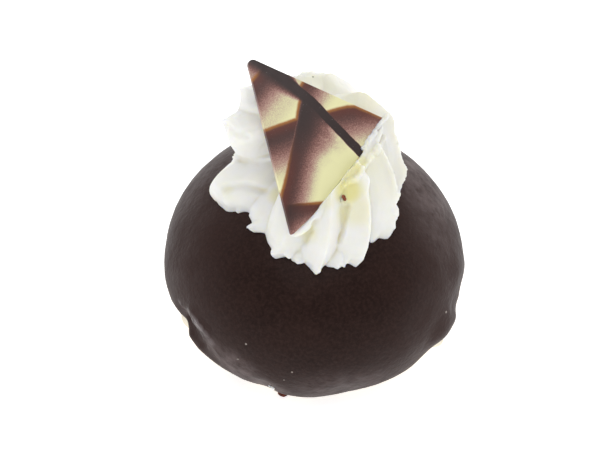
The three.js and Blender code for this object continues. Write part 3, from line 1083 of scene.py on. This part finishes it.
def depth_behind(tree, place, edge, bend):
    """How far a place on the triangle lies behind a stroke's sharp edge."""
    depth = None
    for start, end in zip(edge, edge[1:]):
        along = (Vector(end) - Vector(start)).normalized()
        inward = Vector((along.y, -along.x, 0))
        across = add_node(tree, "ShaderNodeVectorMath", {0: place, 1: inward}, operation="DOT_PRODUCT")
        behind = calc(tree, "SUBTRACT", across.outputs["Value"], inward.to_2d().dot(Vector(start)))
        depth = calc(tree, bend, depth, behind) if depth else behind
    return depth


def wandering(tree, place):
    """A place in the triangle's frame, shifted a little so that the strokes' edges wander."""
    cloud = add_node(tree, "ShaderNodeTexNoise", {"Vector": place, "Scale": 1 / WANDER_GRAIN, "Detail": 2})
    shift = add_node(
        tree, "ShaderNodeVectorMath", {0: cloud.outputs["Color"], 1: (0.5, 0.5, 0.5)}, operation="SUBTRACT"
    ).outputs[0]
    return add_node(
        tree,
        "ShaderNodeVectorMath",
        {0: shift, 1: (EDGE_WANDER, EDGE_WANDER, 0), 2: on_triangle_face(tree, place)},
        operation="MULTIPLY_ADD",
    ).outputs[0]


def long_bar(tree, across, up):
    """How dark the long bar is at a place on the triangle, and whether that is left of its right edge."""
    rise = calc(tree, "SUBTRACT", up, BAR_LEVEL)
    above = calc(tree, "MAXIMUM", rise, 0)
    bow = product(tree, above, above, BAR_BOW)
    lean = product(tree, calc(tree, "MINIMUM", rise, 0), BAR_LEAN)
    edge = calc(tree, "SUBTRACT", calc(tree, "ADD", BAR_EDGE, lean), bow)
    inside = calc(tree, "SUBTRACT", edge, across)
    shadow = spread(tree, up, *BAR_SHADOW_RISE, 0, -BAR_SHADOW)
    right_side = spread(tree, inside, shadow, EDGE_SOFT)
    blur = spread(tree, up, *BAR_BLUR_RISE, EDGE_SOFT, BAR_BLUR)
    past = calc(tree, "DIVIDE", calc(tree, "SUBTRACT", inside, BAR_WIDTH), blur)
    left_side = spread(tree, past, 0, 1, 1, 0)
    return product(tree, right_side, left_side), spread(tree, inside, 0, EDGE_SOFT)


def smoky_patch(tree, place, across, up):
    """How dark the smoky patch is at a place on the triangle."""
    billow = calc(tree, "SUBTRACT", noise(tree, place, SMOKE_GRAIN, 2), 0.5)
    height = calc(tree, "ADD", up, product(tree, billow, SMOKE_DRIFT))
    thickness = spread(tree, height, *SMOKE_RISE, 0, SMOKE_STRENGTH)
    return product(tree, thickness, spread(tree, across, *SMOKE_START))


def dark_strokes(tree, on_face, clear, sides):
    """What the strokes leave pale, and how red-brown and how golden a place is by their sharp edges."""
    bare = clear
    glow, fringe = 0.0, 0.0
    for edge, bend, core, feather, side, strength in STROKES.values():
        depth = depth_behind(tree, on_face, edge, bend)
        sharp = spread(tree, depth, -EDGE_SOFT, EDGE_SOFT)
        faded = depth_behind(tree, on_face, edge[:2], bend) if bend == "MINIMUM" else depth
        shade = spread(tree, faded, core, feather, strength, 0)
        fade = product(tree, shade, sides[side])
        dark = product(tree, sharp, fade)
        warm = spread(tree, depth, *GLOW_DEPTHS, 1, 0)
        glow = calc(tree, "MAXIMUM", glow, product(tree, warm, dark, bare))
        outside = spread(tree, depth, -FRINGE_OUT, 0)
        inside = spread(tree, depth, 0, FRINGE_IN, 1, 0)
        fringe = calc(tree, "MAXIMUM", fringe, product(tree, outside, inside, fade, bare, bare))
        clear = product(tree, clear, without(tree, dark))
        whole_side = sides["left" if side == "upper" else side]
        bare = product(tree, bare, without(tree, product(tree, sharp, shade, whole_side)))
    return clear, glow, fringe


def patterned_chocolate():
    """Pale yellow chocolate with dark strokes: each is sharp on one side, red-brown there and golden at
    its very edge, and fades to a speckled lilac on the other."""
    finish, tree, shader, place = new_finish("patterned_chocolate")
    on_face = wandering(tree, place)
    parts = add_node(tree, "ShaderNodeSeparateXYZ", {0: on_face}).outputs
    across, up = parts["X"], parts["Y"]
    upper_arm = depth_behind(tree, on_face, *STROKES["upper_arm"][:2])
    lower_arm = depth_behind(tree, on_face, *STROKES["lower_arm"][:2])
    bar, left_of_bar = long_bar(tree, across, up)
    below_arms = spread(tree, calc(tree, "MINIMUM", upper_arm, lower_arm), 0, 1)
    smoke = product(tree, smoky_patch(tree, place, across, up), left_of_bar, below_arms)
    over_lower_arm = spread(tree, lower_arm, -EDGE_SOFT, EDGE_SOFT, 1, 0)
    sides = {
        "left": left_of_bar,
        "right": without(tree, left_of_bar),
        "upper": product(tree, left_of_bar, over_lower_arm),
    }
    clear = product(tree, without(tree, bar), without(tree, smoke))
    clear, glow, fringe = dark_strokes(tree, on_face, clear, sides)

    dark = without(tree, clear)
    half_dark = product(tree, dark, clear, 4)  # 1 half-way, 0 where quite dark or quite pale
    speckle = spread(tree, noise(tree, place, 0.3 * MM, 2), 0.3, 0.7, -0.1, 0.1)
    dark = calc(tree, "ADD", dark, product(tree, half_dark, speckle))
    colour = ramp(tree, dark, [
        (0.0, srgb(231, 228, 177)),
        (0.12, srgb(213, 205, 165)),
        (0.24, srgb(190, 165, 144)),
        (0.4, srgb(167, 129, 118)),
        (0.6, srgb(128, 89, 82)),
        (0.8, srgb(88, 60, 56)),
        (1.0, srgb(50, 37, 36)),
    ])
    colour = mix(tree, product(tree, glow, GLOW_SHARE), colour, srgb(100, 52, 43))
    colour = mix(tree, product(tree, fringe, FRINGE_SHARE), colour, srgb(172, 114, 48))
    dust = spread(tree, noise(tree, place, 0.35 * MM, 2), 0.68, 0.8, 0, 0.4)
    grain = noise(tree, place, 0.6 * MM)
    set_inputs(tree, shader, {
        "Base Color": mix(tree, product(tree, dust, dark), colour, srgb(168, 158, 154)),
        "Roughness": spread(tree, noise(tree, place, 3 * MM), 0.3, 0.7, 0.34, 0.48),
        "Specular IOR Level": 0.35,
        "Normal": bump(tree, grain, 0.03 * MM),
    })
    return finish


def crumb_finish(name, colour):
    """Moist crumb: a deep colour, darker in patches, with a wet glint."""
    finish, tree, shader, place = new_finish(name)
    patches = spread(tree, noise(tree, place, 0.8 * MM), 0.35, 0.7)
    dark = [share * CRUMB_SHADE for share in colour[:3]] + [1]
    grain = noise(tree, place, 0.4 * MM)
    set_inputs(tree, shader, {
        "Base Color": mix(tree, patches, colour, dark),
        "Roughness": 0.25,
        "Normal": bump(tree, grain, 0.08 * MM),
    })
    return finish


def dress(piece, finish, node=None):
    """Give a piece its finish and tie it to the frame."""
    piece.data.materials.clear()
    piece.data.materials.append(finish)
    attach(piece, "root")
    if node:
        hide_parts(node)


def studio():
    """Pale floor, a surround that is brightest low down, soft lamps and the camera."""
    bpy.ops.mesh.primitive_plane_add(size=FLOOR_SIZE)
    floor = bpy.context.active_object
    floor.name = "floor"
    paint, paint_tree, shader, _ = new_finish("floor_paint")
    set_inputs(paint_tree, shader, {
        "Base Color": (0.92, 0.92, 0.92, 1),
        "Roughness": 0.9,
        "Specular IOR Level": 0,
        "Emission Color": (1, 1, 1, 1),
        "Emission Strength": FLOOR_GLOW,
    })
    floor.data.materials.append(paint)

    world = bpy.data.worlds.new("surround")
    world.use_nodes = True
    tree = world.node_tree
    tree.nodes.clear()
    direction = tree.nodes.new("ShaderNodeTexCoord").outputs["Generated"]
    up = add_node(tree, "ShaderNodeSeparateXYZ", {0: direction}).outputs["Z"]
    strength = spread(tree, up, *SURROUND_LEVELS, *SURROUND_STRENGTHS)
    light = add_node(tree, "ShaderNodeBackground", {"Color": (1, 1, 1, 1), "Strength": strength})
    add_node(tree, "ShaderNodeOutputWorld", {"Surface": light.outputs[0]})
    bpy.context.scene.world = world

    for name, place, size, energy in LAMPS:
        bpy.ops.object.light_add(type="AREA", location=place)
        lamp = bpy.context.active_object
        lamp.name = name
        lamp.data.shape = "SQUARE"
        lamp.data.size = size
        lamp.data.energy = energy
        lamp.rotation_euler = (CAMERA_AIM - lamp.location).to_track_quat("-Z", "Y").to_euler()

    bpy.ops.object.camera_add(location=CAMERA_PLACE, rotation=CAMERA_TURN)
    camera = bpy.context.active_object
    camera.data.sensor_width = SENSOR_WIDTH
    camera.data.lens = SENSOR_WIDTH * CAMERA_FOCAL / IMAGE_WIDTH
    bpy.context.scene.camera = camera
    bpy.context.scene.view_settings.view_transform = "Standard"


bun = baked_bun()
coat = glazed_coat()
cream = whipped_cream(coat)
triangle = chocolate_triangle()
dress(bun, choux_pastry(bun), "choux_bun")
dress(coat, dark_chocolate(coat), "chocolate_coat")
cream_finish = whipped_cream_finish(cream)
dress(cream, cream_finish, "cream_star")
dress(triangle, patterned_chocolate(), "chocolate_triangle")
specks = crumbs_on(coat, "pale_specks", PALE_SPECKS, PALE_SPECK_SIZE, PALE_SPECK_SHAPE)
shard = crumbs_on(cream, "chocolate_shard", SHARD, SHARD_SIZE, SHARD_SHAPE)
glint = crumbs_on(cream, "shard_glint", SHARD_GLINT, SHARD_GLINT_SIZE, SHARD_GLINT_SHAPE)
dark_speck = crumbs_on(cream, "dark_speck", DARK_SPECK, DARK_SPECK_SIZE, DARK_SPECK_SHAPE)
foot_place = at_height(*FOOT_CRUMB, FOOT_CRUMB_HEIGHT) + FOOT_CRUMB_BACK
foot_crumb = crumbs("foot_crumb", [(foot_place, Vector((0, 0, 1)))], FOOT_CRUMB_SIZE, FOOT_CRUMB_SHAPE)
cream_speck = crumbs_on(coat, "cream_speck", CREAM_SPECK, SHRED_SIZE, CREAM_SPECK_SHAPE)
dress(specks, crumb_finish("dull_crumb", srgb(150, 138, 130)))
dress(shard, crumb_finish("chocolate_crumb", srgb(150, 74, 44)))
dress(glint, cream_finish)
dress(dark_speck, crumb_finish("dark_crumb", srgb(60, 40, 34)))
dress(foot_crumb, crumb_finish("baked_crumb", srgb(122, 52, 30)))
dress(cream_speck, cream_finish)
studio()
